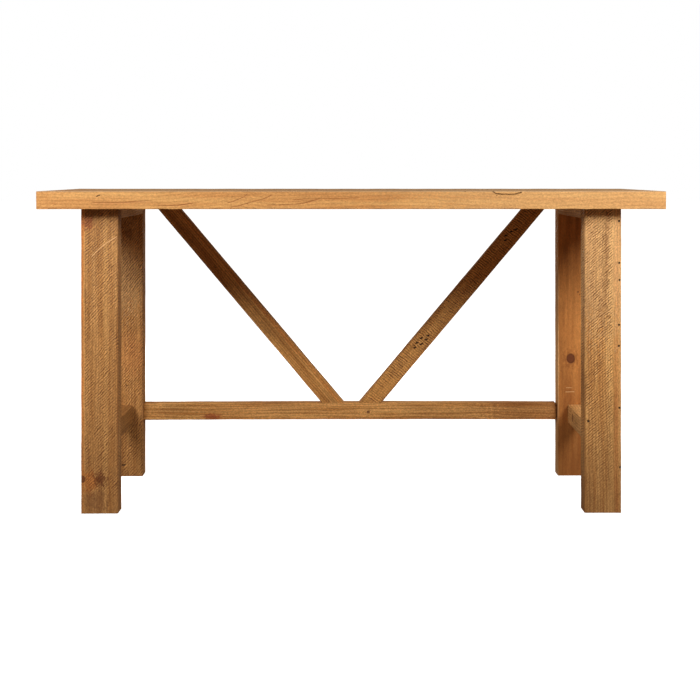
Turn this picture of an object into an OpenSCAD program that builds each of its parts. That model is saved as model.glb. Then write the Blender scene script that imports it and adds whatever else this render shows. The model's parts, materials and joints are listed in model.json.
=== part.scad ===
// Pine console table with two leg frames, a low back stretcher and a wide V of two braces.
// The origin is on the floor under the middle of the top: +X along the length, +Y to the back,
// +Z up. Every size is in millimetres.

/* [Top] */
// Length of the top
table_length = 1500; // [1300:10:1800]
// Depth of the top, front to back
table_depth = 450; // [420:5:520]
// Height of the top surface above the floor
table_height = 776; // [720:1:800]
// Thickness of the top boards
top_thickness = 43; // [38:1:50]

/* [Legs] */
// Width of a leg, along the table
leg_width = 89; // [86:1:100]
// Thickness of a leg, front to back
leg_depth = 44; // [42:1:50]
// Distance from the end of the top to the outer face of a leg
end_overhang = 100; // [60:5:150]
// Distance from the front or back edge of the top to the face of a leg
edge_overhang = 30; // [15:1:40]

/* [Rails] */
// Thickness of the battens under the top
batten_thickness = 24; // [22:1:30]
// Thickness of the side rails
side_rail_thickness = 36; // [30:1:36]
// Height of the side rails
side_rail_height = 48; // [44:1:60]
// Height of the underside of the side rails above the floor
side_rail_lift = 145; // [120:5:200]
// Height of the long stretcher's section
stretcher_height = 45; // [42:1:50]
// Thickness of the stretcher and of the braces
truss_thickness = 30; // [28:1:32]
// Height of the underside of the stretcher above the floor
stretcher_lift = 149; // [124:5:204]

/* [Braces] */
// Width of a brace, square across its length
brace_width = 46.5; // [46:0.5:52]
// Gap between the head of the left brace and the leg beside it
brace_head_gap = 29; // [20:1:60]
// Distance from the middle of the stretcher to the foot of the left brace
brace_foot_x = 16.5; // [10:0.5:20]
// How much further right than its mirror place the right brace stands
right_brace_shift = 5.5; // [0:0.5:6]

/* [Joinery] */
// Thickness of the tenons
tenon_thickness = 14; // [12:1:14]
// Length of the tenons on the side rails and battens
tenon_length = 20; // [16:1:20]
// Length of the tenons on the stretcher
stretcher_tenon = 32; // [24:1:32]
// Gap left for glue behind each tenon
glue_gap = 2; // [1:0.5:2]
// Dowels in each glued joint of the top
dowels_per_joint = 5; // [3:1:7]

/* [Hidden] */
$fn = 48;

// Signs for the two ends and the two long sides
left = -1;
right = 1;
front = -1;
back = 1;

// Heights of the main joints
under_top = table_height - top_thickness;
stretcher_top = stretcher_lift + stretcher_height;

// Places of the legs, measured from the centre
leg_outer_x = table_length / 2 - end_overhang;
leg_inner_x = leg_outer_x - leg_width;
leg_mid_x = leg_outer_x - leg_width / 2;
leg_outer_y = table_depth / 2 - edge_overhang;
leg_inner_y = leg_outer_y - leg_depth;

// The truss of stretcher and braces is flush with the backs of the back legs
truss_mid_y = leg_outer_y - truss_thickness / 2;
stretcher_mid_z = stretcher_lift + stretcher_height / 2;

// Tenon sections: every tenon has a shoulder all round
tenon_shoulder = 7;
batten_tenon_thickness = 12;
batten_tenon_shoulder = 17;

// Top boards and the dowels between them
board_count = 3;
board_depth = table_depth / board_count;
dowel_r = 5;
dowel_length = 50;
dowel_past_leg = 60;
dowel_z = table_height - top_thickness / 2;
last_dowel_x = leg_mid_x + dowel_past_leg;
dowel_pitch = 2 * last_dowel_x / (dowels_per_joint - 1);

// Holes are this much larger in radius than what they hold
hole_play = 0.1;

// M8 bolts that hold the battens to the top, and their inserts
bolt_r = 4;
bolt_length = 40;
bolt_head_flats = 13;
bolt_head_height = 5.3;
bolt_hole_r = 4.5;
washer_r = 12;
washer_thickness = 1.6;
insert_r = 6;
insert_length = 16;
bolt_tip_room = 2;
bolt_from_leg = 35;
batten_bolt_rows = [-1, 0, 1];

// M6 joint bolts with barrel nuts in the ends of the stretcher
joint_bolt_r = 3;
joint_bolt_length = 120;
joint_hole_r = 3.4;
joint_head_r = 7;
joint_head_height = 4;
joint_pocket_r = 8;
joint_pocket_depth = 12;
barrel_nut_r = 5;
barrel_nut_length = 20;
barrel_nut_inset = 7;
joint_seat_x = leg_outer_x - joint_pocket_depth;
joint_tip_x = joint_seat_x - joint_bolt_length;
barrel_nut_x = joint_tip_x + barrel_nut_inset;

// Wood screws at both ends of the braces
screw_r = 2.25;
screw_point = 4.5;
screw_tip_r = 0.4;
screw_head_r = 4.5;
screw_head_height = 3;
screw_pocket_r = 5;
screw_length = 50;
head_seat_drop = 28;
foot_seat_rise = 15;
head_screw_seat = under_top - head_seat_drop;
foot_screw_seat = stretcher_lift + foot_seat_rise;
head_screw_insets = [13, 29];
foot_screw_insets = [29, 47];

// Slanted outline of a brace: both ends are cut level. Its lean from the vertical is the angle
// at which a board of this width just spans from the foot's inner edge to the head's outer edge
brace_rise = under_top - stretcher_top;
brace_reach = leg_inner_x - brace_head_gap - brace_foot_x;
brace_lean = acos(brace_width / norm([brace_reach, brace_rise])) - atan2(brace_rise, brace_reach);
brace_level_width = brace_width / cos(brace_lean);
brace_head_x = brace_foot_x + brace_rise * tan(brace_lean);

pine_light = [0.84, 0.62, 0.38];
pine_warm = [0.74, 0.51, 0.29];
pine_dark = [0.60, 0.40, 0.23];
beech = [0.88, 0.74, 0.55];
zinc = [0.72, 0.74, 0.76];
brass = [0.80, 0.66, 0.32];

// Box with its lowest corner at low and its highest corner at high
module span(low, high) {
    translate(low) cube(high - low);
}

// Draws its children at the right end, or mirrored to the left end
module at_end(side) {
    if (side == right) children();
    else mirror([1, 0, 0]) children();
}

// Draws its children at the right brace, or mirrored to the left brace
module at_brace(side) {
    if (side == right) translate([right_brace_shift, 0, 0]) children();
    else mirror([1, 0, 0]) children();
}

// Draws its children at the back, or mirrored to the front
module at_row(row) {
    if (row == back) children();
    else mirror([0, 1, 0]) children();
}

// Upright countersunk wood screw, point up, with the face of its head at z = seat
module wood_screw(seat) {
    translate([0, 0, seat]) {
        cylinder(h = screw_length - screw_point, r = screw_r);
        translate([0, 0, screw_length - screw_point])
            cylinder(h = screw_point, r1 = screw_r, r2 = screw_tip_r);
        cylinder(h = screw_head_height, r1 = screw_head_r, r2 = screw_r);
    }
}

// Hole for the same screw, with a pocket below it that is open downwards
module wood_screw_hole(seat, pocket_depth) {
    translate([0, 0, seat]) {
        cylinder(h = screw_length + hole_play, r = screw_r + hole_play);
        cylinder(h = screw_head_height, r1 = screw_head_r + hole_play, r2 = screw_r + hole_play);
        translate([0, 0, -pocket_depth]) cylinder(h = pocket_depth, r = screw_pocket_r);
    }
}

// Places of the screws in the head of the right-hand brace
module at_head_screws() {
    for (inset = head_screw_insets)
        translate([brace_head_x + inset, truss_mid_y, 0]) children();
}

// Places of the screws in the foot of the right-hand brace
module at_foot_screws() {
    for (inset = foot_screw_insets)
        translate([brace_foot_x + inset, truss_mid_y, 0]) children();
}

// Places of the bolts along the right-hand batten
module at_batten_bolts() {
    for (row = batten_bolt_rows)
        translate([leg_mid_x, row * (leg_inner_y - bolt_from_leg), 0]) children();
}

// Dowels of one glued joint, lying front to back across y
module dowel_row(y, r, length) {
    for (i = [0 : dowels_per_joint - 1])
        translate([i * dowel_pitch - last_dowel_x, y, dowel_z])
            rotate([90, 0, 0])
                cylinder(h = length, r = r, center = true);
}

// One board of the top; number 0 is at the front
module top_board(number) {
    near_y = number * board_depth - table_depth / 2;
    difference() {
        span([-table_length / 2, near_y, under_top],
             [table_length / 2, near_y + board_depth, table_height]);
        for (joint = [1 : board_count - 1])
            dowel_row(joint * board_depth - table_depth / 2, dowel_r + hole_play,
                      dowel_length + 2 * glue_gap);
        for (side = [left, right]) at_end(side) {
            at_batten_bolts()
                translate([0, 0, under_top - glue_gap])
                    cylinder(h = glue_gap + insert_length + bolt_tip_room,
                             r = insert_r + hole_play);
        }
        for (side = [left, right]) at_brace(side) at_head_screws()
            translate([0, 0, head_screw_seat])
                cylinder(h = screw_length + hole_play, r = screw_r + hole_play);
    }
}

// Tongue of a side rail, with its mortise when room is added at the end
module side_rail_tenon(room) {
    span([leg_mid_x - tenon_thickness / 2, leg_inner_y - glue_gap,
          side_rail_lift + tenon_shoulder],
         [leg_mid_x + tenon_thickness / 2, leg_inner_y + tenon_length + room,
          side_rail_lift + side_rail_height - tenon_shoulder]);
}

// Tongue of a batten, with its mortise when room is added at the end
module batten_tenon(room) {
    mid_z = under_top - batten_thickness / 2;
    span([leg_inner_x + batten_tenon_shoulder, leg_inner_y - glue_gap,
          mid_z - batten_tenon_thickness / 2],
         [leg_outer_x - batten_tenon_shoulder, leg_inner_y + tenon_length + room,
          mid_z + batten_tenon_thickness / 2]);
}

// Tongue of the stretcher, with its mortise when room is added at the end
module stretcher_tenon_block(room) {
    span([leg_inner_x - glue_gap, truss_mid_y - tenon_thickness / 2,
          stretcher_lift + tenon_shoulder],
         [leg_inner_x + stretcher_tenon + room, truss_mid_y + tenon_thickness / 2,
          stretcher_top - tenon_shoulder]);
}

// Hole for the joint bolt, from its pocket in the leg into the stretcher
module joint_bolt_hole() {
    translate([joint_tip_x - glue_gap, truss_mid_y, stretcher_mid_z])
        rotate([0, 90, 0])
            cylinder(h = leg_outer_x - joint_tip_x + 2 * glue_gap, r = joint_hole_r);
}

// One leg with the mortises of the rails that enter it
module leg(side, row) {
    at_end(side) difference() {
        at_row(row) difference() {
            span([leg_inner_x, leg_inner_y, 0], [leg_outer_x, leg_outer_y, under_top]);
            side_rail_tenon(glue_gap);
            batten_tenon(glue_gap);
        }
        if (row == back) {
            stretcher_tenon_block(glue_gap);
            joint_bolt_hole();
            translate([joint_seat_x, truss_mid_y, stretcher_mid_z])
                rotate([0, 90, 0])
                    cylinder(h = joint_pocket_depth + glue_gap, r = joint_pocket_r);
        }
    }
}

// Low rail from a front leg to a back leg, with a tenon at each end
module side_rail(side) {
    at_end(side) {
        span([leg_mid_x - side_rail_thickness / 2, -leg_inner_y, side_rail_lift],
             [leg_mid_x + side_rail_thickness / 2, leg_inner_y,
              side_rail_lift + side_rail_height]);
        for (row = [front, back]) at_row(row) side_rail_tenon(0);
    }
}

// Batten under the top, from a front leg to a back leg, bolted up into the top
module top_batten(side) {
    at_end(side) difference() {
        union() {
            span([leg_inner_x, -leg_inner_y, under_top - batten_thickness],
                 [leg_outer_x, leg_inner_y, under_top]);
            for (row = [front, back]) at_row(row) batten_tenon(0);
        }
        at_batten_bolts()
            translate([0, 0, under_top - batten_thickness - glue_gap])
                cylinder(h = batten_thickness + 2 * glue_gap, r = bolt_hole_r);
    }
}

// Long rail between the back legs, with a tenon, a bolt hole and a barrel nut hole at each end
module stretcher() {
    color(pine_warm) difference() {
        union() {
            span([-leg_inner_x, leg_outer_y - truss_thickness, stretcher_lift],
                 [leg_inner_x, leg_outer_y, stretcher_top]);
            for (side = [left, right]) at_end(side) stretcher_tenon_block(0);
        }
        for (side = [left, right]) at_end(side) {
            joint_bolt_hole();
            translate([barrel_nut_x, leg_outer_y + glue_gap, stretcher_mid_z])
                rotate([90, 0, 0])
                    cylinder(h = truss_thickness / 2 + barrel_nut_length / 2 + glue_gap,
                             r = barrel_nut_r + hole_play);
        }
        for (side = [left, right]) at_brace(side) at_foot_screws()
            wood_screw_hole(foot_screw_seat, foot_seat_rise + glue_gap);
    }
}

// Slanted brace from the stretcher to the underside of the top
module brace(side) {
    at_brace(side) difference() {
        translate([0, leg_outer_y, 0])
            rotate([90, 0, 0])
                linear_extrude(height = truss_thickness)
                    polygon([[brace_foot_x, stretcher_top],
                             [brace_foot_x + brace_level_width, stretcher_top],
                             [brace_head_x + brace_level_width, under_top],
                             [brace_head_x, under_top]]);
        at_head_screws()
            wood_screw_hole(head_screw_seat, brace_level_width);
        at_foot_screws()
            translate([0, 0, foot_screw_seat])
                cylinder(h = screw_length + hole_play, r = screw_r + hole_play);
    }
}

// Beech dowels in the glued joints of the top
module top_dowels() {
    color(beech)
        for (joint = [1 : board_count - 1])
            dowel_row(joint * board_depth - table_depth / 2, dowel_r, dowel_length);
}

// Hexagon bolts up through the battens
module batten_bolts() {
    head_under = under_top - batten_thickness - washer_thickness;
    color(zinc) for (side = [left, right]) at_end(side) at_batten_bolts()
        translate([0, 0, head_under]) {
            cylinder(h = bolt_length, r = bolt_r);
            translate([0, 0, -bolt_head_height])
                cylinder(h = bolt_head_height, r = bolt_head_flats / sqrt(3), $fn = 6);
        }
}

// Washers between the bolt heads and the battens
module batten_washers() {
    color(zinc) for (side = [left, right]) at_end(side) at_batten_bolts()
        translate([0, 0, under_top - batten_thickness - washer_thickness])
            difference() {
                cylinder(h = washer_thickness, r = washer_r);
                translate([0, 0, -washer_thickness])
                    cylinder(h = 3 * washer_thickness, r = bolt_r + hole_play);
            }
}

// Threaded inserts in the underside of the top, flush with it
module top_inserts() {
    color(brass) for (side = [left, right]) at_end(side) at_batten_bolts()
        translate([0, 0, under_top])
            difference() {
                cylinder(h = insert_length, r = insert_r);
                translate([0, 0, -glue_gap])
                    cylinder(h = insert_length + 2 * glue_gap, r = bolt_r + hole_play);
            }
}

// Long bolts through the back legs into the barrel nuts
module stretcher_bolts() {
    color(zinc) for (side = [left, right]) at_end(side)
        translate([joint_seat_x, truss_mid_y, stretcher_mid_z])
            rotate([0, 90, 0]) {
                cylinder(h = joint_head_height, r = joint_head_r);
                translate([0, 0, -joint_bolt_length])
                    cylinder(h = joint_bolt_length, r = joint_bolt_r);
            }
}

// Barrel nuts, pushed in from the back of the stretcher
module stretcher_barrel_nuts() {
    color(zinc) for (side = [left, right]) at_end(side)
        translate([barrel_nut_x, truss_mid_y, stretcher_mid_z])
            difference() {
                rotate([90, 0, 0])
                    cylinder(h = barrel_nut_length, r = barrel_nut_r, center = true);
                rotate([0, 90, 0])
                    cylinder(h = 3 * barrel_nut_r, r = joint_bolt_r + hole_play, center = true);
            }
}

// Screws through the braces up into the top
module brace_head_screws() {
    color(zinc) for (side = [left, right]) at_brace(side)
        at_head_screws() wood_screw(head_screw_seat);
}

// Screws through the stretcher up into the braces
module brace_foot_screws() {
    color(zinc) for (side = [left, right]) at_brace(side)
        at_foot_screws() wood_screw(foot_screw_seat);
}

color(pine_light) top_board(0);  // top_board_front
color(pine_light) top_board(1);  // top_board_middle
color(pine_light) top_board(2);  // top_board_back
top_dowels();
color(pine_warm) leg(left, front);  // leg_front_left
color(pine_warm) leg(right, front);  // leg_front_right
color(pine_warm) leg(left, back);  // leg_back_left
color(pine_warm) leg(right, back);  // leg_back_right
color(pine_dark) side_rail(left);  // side_rail_left
color(pine_dark) side_rail(right);  // side_rail_right
color(pine_dark) top_batten(left);  // top_batten_left
color(pine_dark) top_batten(right);  // top_batten_right
stretcher();
color(pine_warm) brace(left);  // brace_left
color(pine_warm) brace(right);  // brace_right
batten_bolts();
batten_washers();
top_inserts();
stretcher_bolts();
stretcher_barrel_nuts();
brace_head_screws();
brace_foot_screws();
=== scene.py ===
# %% [markdown]
# # A console table in reclaimed pine
# The table is a thick plank top on two leg frames. A long stretcher joins the back legs, and two
# slanted braces rise from its middle in a wide V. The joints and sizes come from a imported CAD
# frame; this lesson gives every piece of timber its worn edges, saw marks, knots, nail holes and
# waxed colour. The frame is loaded first, because every place and size below is read from it.

# %% Load the frame
import json
import math
import bpy
import numpy as np
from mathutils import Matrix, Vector

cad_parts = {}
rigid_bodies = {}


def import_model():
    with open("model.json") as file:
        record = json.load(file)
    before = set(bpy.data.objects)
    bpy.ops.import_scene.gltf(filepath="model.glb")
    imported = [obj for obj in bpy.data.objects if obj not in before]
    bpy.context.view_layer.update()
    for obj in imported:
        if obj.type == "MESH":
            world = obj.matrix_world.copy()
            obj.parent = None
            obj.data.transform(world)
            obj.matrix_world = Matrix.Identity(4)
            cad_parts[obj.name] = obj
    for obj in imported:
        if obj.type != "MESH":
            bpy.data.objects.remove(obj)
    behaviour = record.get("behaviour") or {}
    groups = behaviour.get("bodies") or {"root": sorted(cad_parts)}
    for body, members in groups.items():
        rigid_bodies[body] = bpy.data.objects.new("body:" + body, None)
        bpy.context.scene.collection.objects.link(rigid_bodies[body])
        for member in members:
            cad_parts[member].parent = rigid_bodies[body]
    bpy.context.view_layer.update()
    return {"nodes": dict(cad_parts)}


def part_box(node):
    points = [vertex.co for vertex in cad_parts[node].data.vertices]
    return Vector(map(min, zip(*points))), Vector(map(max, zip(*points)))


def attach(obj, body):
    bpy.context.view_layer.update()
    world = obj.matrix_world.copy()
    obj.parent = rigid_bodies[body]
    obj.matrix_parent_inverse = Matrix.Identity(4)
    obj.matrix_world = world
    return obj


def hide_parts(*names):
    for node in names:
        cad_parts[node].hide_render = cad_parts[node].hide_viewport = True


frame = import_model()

MM = 0.001

# %% [markdown]
# ## Arithmetic on shader sockets
# A wood shader is mostly sums: ring radius, distance to a knot, place across a saw mark. Wiring
# them by hand hides the idea, so a small class wraps a socket and overloads the operators. Each
# operator adds one Math node. Every other node comes from one method, `node`, which sets the
# node's own settings first and then its sockets.


# %% Values and trees
class Value:
    """A shader socket that can be used in arithmetic."""

    def __init__(self, tree, socket):
        self.tree = tree
        self.socket = socket

    def math(self, operation, *values, **settings):
        settings["operation"] = operation
        return self.tree.node("ShaderNodeMath", settings, values or (self,))

    def __add__(self, other):
        return self.math("ADD", self, other)

    def __sub__(self, other):
        return self.math("SUBTRACT", self, other)

    def __rsub__(self, other):
        return self.math("SUBTRACT", other, self)

    def __mul__(self, other):
        return self.math("MULTIPLY", self, other)

    def __truediv__(self, other):
        return self.math("DIVIDE", self, other)

    __radd__ = __add__
    __rmul__ = __mul__

    def size(self):
        return self.math("ABSOLUTE", self)

    def fraction(self):
        return self.math("FRACT", self)

    def step(self, low, high):
        """0 up to low, 1 from high on, smooth between; low may be the larger."""
        if low > high:
            return 1 - self.step(high, low)
        return self.tree.node("ShaderNodeMapRange", {"interpolation_type": "SMOOTHSTEP"},
                              {"Value": self, "From Min": low, "From Max": high})


class Tree:
    """The node tree of one material, built by calls."""

    def __init__(self, name):
        self.material = bpy.data.materials.new(name)
        self.material.use_nodes = True
        self.nodes = self.material.node_tree.nodes
        self.links = self.material.node_tree.links
        self.nodes.clear()
        self.output = self.nodes.new("ShaderNodeOutputMaterial")

    def node(self, kind, settings=None, inputs=(), output=0):
        """One node: its settings, then its sockets by name or in order."""
        made = self.nodes.new(kind)
        for name, setting in (settings or {}).items():
            setattr(made, name, setting)
        pairs = inputs.items() if isinstance(inputs, dict) else enumerate(inputs)
        for key, value in pairs:
            if isinstance(value, Value):
                self.links.new(value.socket, made.inputs[key])
            else:
                made.inputs[key].default_value = value
        return Value(self, made.outputs[output])

    def vector(self, x, y, z):
        return self.node("ShaderNodeCombineXYZ", {}, [x, y, z])

    def noise(self, place, detail=2.0, roughness=0.5, scale=1.0):
        """Noise from 0 to 1 with features about 1 / scale in size."""
        return self.node("ShaderNodeTexNoise", {},
                         {"Vector": place, "Scale": scale, "Detail": detail,
                          "Roughness": roughness})

    def mix(self, factor, first, second, blend="MIX"):
        """Colour blend, from first at factor 0 to second at factor 1."""
        return self.node("ShaderNodeMix", {"data_type": "RGBA", "blend_type": blend},
                         {0: factor, 6: first, 7: second}, output=2)

    def attribute(self, name):
        return self.node("ShaderNodeAttribute", {"attribute_name": name}, output=2)

    def surface(self, colour, roughness, height=None, **fixed):
        """Principled surface; height is in metres and becomes a bump."""
        inputs = {"Base Color": colour, "Roughness": roughness}
        inputs.update({name.replace("_", " "): value for name, value in fixed.items()})
        if height is not None:
            inputs["Normal"] = self.node("ShaderNodeBump", {},
                                         {"Strength": 1.0, "Distance": 1.0, "Height": height})
        shader = self.node("ShaderNodeBsdfPrincipled", {}, inputs)
        self.links.new(shader.socket, self.output.inputs["Surface"])
        return self.material


def grey(tree, value):
    """The same value in all three channels."""
    return tree.vector(value, value, value)


def srgb(red, green, blue):
    """A display colour, 0 to 255, as the linear colour that shaders work in."""
    def linear(channel):
        share = channel / 255
        return share / 12.92 if share <= 0.04045 else ((share + 0.055) / 1.055) ** 2.4
    return (linear(red), linear(green), linear(blue), 1.0)


print("middle grey in linear light:", round(srgb(128, 128, 128)[0], 3))


# %% [markdown]
# ## Timber as a mesh
# A piece of sawn timber is nearly a box, but what makes it look real is at its edges and on its
# faces: arrises rounded by years of use, shallow hollows from planing, nail holes and splits. A
# box with a bevel could not hold them. So each piece is a lattice of points on the surface of a
# box, with lines crowded near the edges and round each nail hole, and every point is then moved
# by a few simple rules. Lengths here are millimetres in the piece's own axes: along the grain,
# across the face, and through the thickness.


# %% Smooth random curves
def ripple(place, wavelength, seed):
    """A smooth random curve from about -1 to 1, the same on every run."""
    source = np.random.default_rng(seed)
    total = np.zeros_like(place, dtype=float)
    for octave in range(5):
        turns = (0.6 + 0.35 * octave + 0.3 * source.random()) / wavelength
        total += np.sin(math.tau * (place * turns + source.random()))
    return total / 2.5


def smooth_step(value, low, high):
    share = np.clip((value - low) / (high - low), 0, 1)
    return share * share * (3 - 2 * share)


# %% Lattice lines
EDGE_LINES = (0.0, 0.25, 0.6, 1.05, 1.6, 2.3, 3.2, 4.5)
CLOSEST_LINES = 0.12


def lines(low, high, step, spots=()):
    """Lattice positions from low to high: crowded at both ends and round each spot."""
    inner_low = low + EDGE_LINES[-1]
    inner_high = high - EDGE_LINES[-1]
    count = max(2, round((inner_high - inner_low) / step) + 1)
    places = [low + gap for gap in EDGE_LINES]
    places += [high - gap for gap in EDGE_LINES]
    places += list(np.linspace(inner_low, inner_high, count))
    for centre, reach, pitch in spots:
        rows = round(reach / pitch)
        places += [centre + row * pitch for row in range(-rows, rows + 1)]
    places = np.unique(np.round([p for p in places if low <= p <= high], 3))
    keep = np.concatenate([[True], np.diff(places) > CLOSEST_LINES])
    keep[-1] = True
    return places[keep]


print("lines across a face of 89:", len(lines(-44.5, 44.5, 4.0)))


# %% Surface of a lattice box
def box_surface(xs, ys, zs):
    """Points on the six sides of a lattice box, and the quads that join them."""
    counts = np.array([len(xs), len(ys), len(zs)])
    weights = np.array([counts[1] * counts[2], counts[2], 1])
    quads = []
    for axis in range(3):
        first, second = [a for a in range(3) if a != axis]
        rows, columns = np.meshgrid(np.arange(counts[first] - 1), np.arange(counts[second] - 1),
                                    indexing="ij")
        for far in (0, 1):
            corners = []
            for step_first, step_second in ((0, 0), (1, 0), (1, 1), (0, 1)):
                index = np.zeros((rows.size, 3), dtype=int)
                index[:, axis] = far * (counts[axis] - 1)
                index[:, first] = rows.ravel() + step_first
                index[:, second] = columns.ravel() + step_second
                corners.append(index @ weights)
            outward = (far == 1) == (axis != 1)
            quads.append(np.stack(corners if outward else corners[::-1], axis=1))
    keys, faces = np.unique(np.concatenate(quads), return_inverse=True)
    faces = faces.reshape(-1, 4)
    points = np.stack([xs[keys // weights[0]], ys[(keys // weights[1]) % counts[1]],
                       zs[keys % counts[2]]], axis=1)
    return points, faces


# %% [markdown]
# ## What happens to the surface
# The rules below are the history of an old board. `round_arrises` wears its edges, more in some
# places than in others. `hollow_faces` gives the shallow dips of planing and shrinking. `press`
# sinks nail holes and splits. `darkness_of` says how dark each spot has become, because iron and
# dirt stain pine, and `arris_nearness` says where hands and shoes have rubbed; the shader reads
# both later.


# %% Worn arrises and hollow faces
SLOW_WEAR, QUICK_WEAR = 90, 17
LEAST_WEAR, MOST_WEAR = 0.35, 2.2
LONG_DIP, SIDE_DIP, CROSS_DIP = 210, 260, 70


def worn_radius(points, wear, crisp_sides, seed):
    """Radius of the nearest arris at each point; a crisp side keeps its own small one."""
    radius = np.full(len(points), float(wear))
    for axis, side, crisp in crisp_sides:
        radius[points[:, axis] * side > 0] = crisp
    corner = (points[:, 1] > 0) * 2 + (points[:, 2] > 0)
    for number in range(4):
        on = corner == number
        slow = ripple(points[on, 0], SLOW_WEAR, seed * 7 + number)
        quick = ripple(points[on, 0], QUICK_WEAR, seed)
        radius[on] *= np.clip(1 + 0.45 * slow + 0.35 * quick, LEAST_WEAR, MOST_WEAR)
    return np.minimum(radius, EDGE_LINES[-1])


def round_arrises(points, half, radius):
    """Rounds the edges of a box of half-sizes half; radius is one number per point."""
    limit = np.maximum(half - radius[:, None], 0)
    core = np.clip(points, -limit, limit)
    beyond = points - core
    distance = np.linalg.norm(beyond, axis=1, keepdims=True)
    touched = (np.abs(beyond) > 1e-9).sum(axis=1, keepdims=True) > 1
    rounded = core + beyond * radius[:, None] / np.maximum(distance, 1e-9)
    return np.where(touched, rounded, points)


def hollow_faces(shaped, points, half, depth, seed):
    """Pulls the faces in by up to depth, in long shallow dips."""
    dip = 0.5 + 0.5 * np.clip(ripple(points[:, 0], LONG_DIP, seed + 3)
                              * ripple(points[:, 1], CROSS_DIP, seed + 5), -1, 1)
    side_dip = 0.5 + 0.5 * np.clip(ripple(points[:, 0], SIDE_DIP, seed + 9), -1, 1)
    shaped[:, 2] *= 1 - depth * dip / half[2]
    shaped[:, 1] *= 1 - depth * side_dip / half[1]


def arris_nearness(points, half, reach):
    """1 on an edge of the box, falling to 0 about reach away from it."""
    gaps = np.sort(half - np.abs(points), axis=1)
    return np.exp(-np.clip(gaps[:, 1], 0, None) / reach)


# %% Nail holes, nicks and splits
MARK_REACH = 1.5


def new_mark(face, path, width, depth, stain=1.0):
    """A mark on a face, given by its axis and side; path has (along, across) points."""
    return {"face": face, "path": path, "width": width, "depth": depth, "stain": stain}


def distance_to_path(places, path):
    """Distance of each (along, across) place to a line through the points of path."""
    nearest = np.full(len(places), np.inf)
    if len(path) == 1:
        path = path * 2
    for start, end in zip(path[:-1], path[1:]):
        start, run = np.array(start), np.array(end) - np.array(start)
        share = np.clip((places - start) @ run / max(run @ run, 1e-9), 0, 1)
        gap = np.linalg.norm(places - start - share[:, None] * run, axis=1)
        nearest = np.minimum(nearest, gap)
    return nearest


def on_face_of(mark, points, half):
    """Which points lie on the face of the mark, and how far they are from its path."""
    axis, side = mark["face"]
    others = [0, 1] if axis == 2 else [0, 2]
    on_face = points[:, axis] * side > half[axis] - mark["depth"] - MARK_REACH
    return on_face, distance_to_path(points[:, others], mark["path"])


def press(shaped, points, half, marks):
    """Sinks each mark into its face."""
    for mark in marks:
        axis, side = mark["face"]
        on_face, gap = on_face_of(mark, points, half)
        shape = 1 - smooth_step(gap, 0.22 * mark["width"], 0.6 * mark["width"])
        shaped[:, axis] -= np.where(on_face, side * mark["depth"] * shape, 0)


def darkness_of(points, half, marks):
    """How dark each point has become, from 0 to 1."""
    darkness = np.zeros(len(points))
    for mark in marks:
        on_face, gap = on_face_of(mark, points, half)
        stain = mark["stain"] * (1 - smooth_step(gap, 0.5 * mark["width"], mark["width"]))
        darkness = np.maximum(darkness, np.where(on_face, stain, 0))
    return darkness


# %% [markdown]
# ## Where a piece lies
# A `Lie` says where a piece lies: its middle, and the directions of its grain, its width and its
# thickness. The same three directions place the mesh and, later, turn the shader's coordinates,
# so that the grain always runs the way the piece was sawn. A brace is cut level at both ends, so
# its lattice is sheared along the grain, and the stretcher has a slight bow; both are undone when
# a finished point is read back.


# %% Lies
class Lie:
    """The middle of a piece in metres, its three directions, its shear and its bow."""

    def __init__(self, box, along, across, through, half=None, slant=0.0, bow=0.0):
        low, high = (Vector(corner) for corner in box)
        self.middle = (low + high) / 2
        self.axes = [Vector(along).normalized(), Vector(across).normalized(),
                     Vector(through).normalized()]
        self.basis = np.array([list(axis) for axis in self.axes])
        size = high - low
        self.half = np.array(half or [abs(axis.dot(size)) / 2 / MM for axis in self.axes])
        self.slant = slant
        self.bow = bow

    def to_world(self, points):
        """Metres in the frame, from the piece's own millimetres."""
        bent = points.copy()
        bent[:, 0] += self.slant * bent[:, 1]
        bent[:, 1] += self.bow * (1 - (bent[:, 0] / self.half[0]) ** 2)
        return bent * MM @ self.basis + np.array(self.middle)

    def from_world(self, places):
        """The piece's own millimetres, from metres in the frame."""
        points = (places - np.array(self.middle)) @ self.basis.T / MM
        points[:, 1] -= self.bow * (1 - (points[:, 0] / self.half[0]) ** 2)
        points[:, 0] -= self.slant * points[:, 1]
        return points

    def mirrored(self):
        return self.axes[0].cross(self.axes[1]).dot(self.axes[2]) < 0


# %% [markdown]
# ## Holes and mortises
# A joint is only real if there is a hole for what goes into it. The CAD hardware says where: each
# bolt, nut, dowel and screw is a separate solid, so its own box gives the axis of its hole. A
# hole is a turned solid, described by steps of distance and radius, and a mortise is a box. They
# are gathered per timber first, and cut out of its mesh together by one boolean modifier. Its
# MANIFOLD solver is used, because timbers and cutters are all closed and it is the quickest.


# %% Separate solids of a node
def solids(node):
    """Low and high corners, in metres, of each separate solid of a CAD node."""
    mesh = frame["nodes"][node].data
    places = np.array([vertex.co for vertex in mesh.vertices])
    corners, index = np.unique(np.round(places, 6), axis=0, return_inverse=True)
    index = index.ravel()
    pairs = index[np.array([edge.vertices for edge in mesh.edges])]
    group = np.arange(len(corners))
    while True:
        lowest = np.minimum(group[pairs[:, 0]], group[pairs[:, 1]])
        joined = group.copy()
        np.minimum.at(joined, pairs[:, 0], lowest)
        np.minimum.at(joined, pairs[:, 1], lowest)
        if (joined == group).all():
            break
        group = joined
    return [(corners[group == number].min(axis=0), corners[group == number].max(axis=0))
            for number in np.unique(group)]


# %% Cutters
HOLES = {}


def cut(nodes, name, points, faces):
    """Keeps one hole for each timber it goes through."""
    mesh = bpy.data.meshes.new(name)
    mesh.from_pydata([tuple(point) for point in points], [], faces)
    for node in nodes:
        HOLES.setdefault(node, []).append(mesh)


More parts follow.
